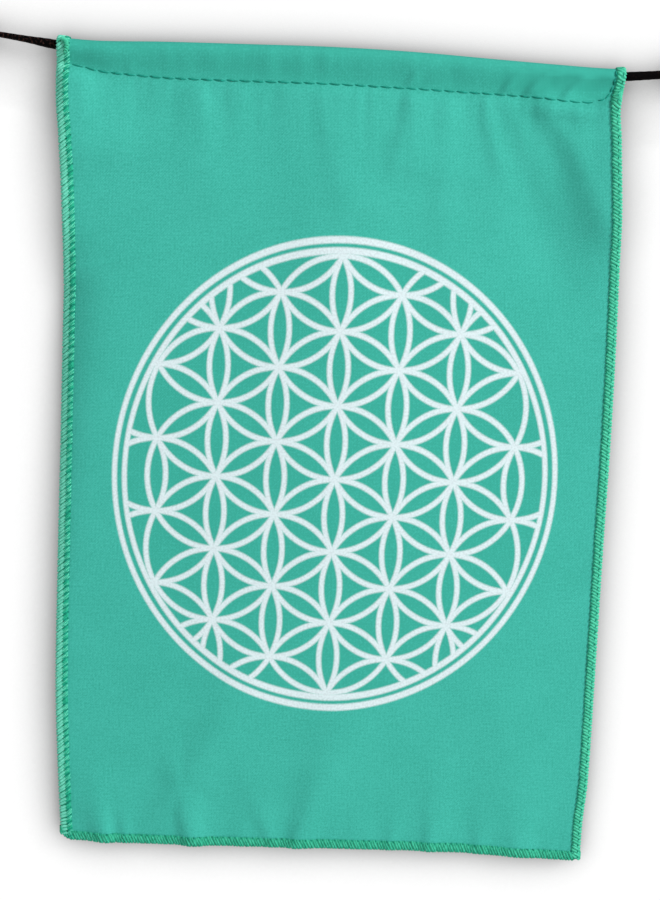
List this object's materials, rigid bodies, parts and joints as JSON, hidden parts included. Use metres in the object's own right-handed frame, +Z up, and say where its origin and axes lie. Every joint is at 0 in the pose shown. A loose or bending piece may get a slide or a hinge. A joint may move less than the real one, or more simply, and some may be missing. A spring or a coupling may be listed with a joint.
{
  "type": "prayer flag on its cord",
  "caption": "Small printed cloth flag with serged sides and foot, its top stitched as a casing round a taut cord that ends in stopper knots.",
  "frame": {"origin": "on the cord's centre line above the middle of the flag", "axes": "+X to the right as the printed front is seen, roughly along the cord; +Y away from the viewer, through the cloth; +Z up"},
  "size_m": [0.2273, 0.01, 0.2666],
  "materials": {
    "cloth": "matte plain weave",
    "thread": "soft spun thread",
    "cord": "dark braid"
  },
  "bodies": {
    "root": {"flag_cloth": "cloth", "serged_edge_left": "thread", "serged_edge_right": "thread", "serged_edge_bottom": "thread", "cord": "cord", "knot_left": "cord", "knot_right": "cord"}
  },
  "joints": []
}
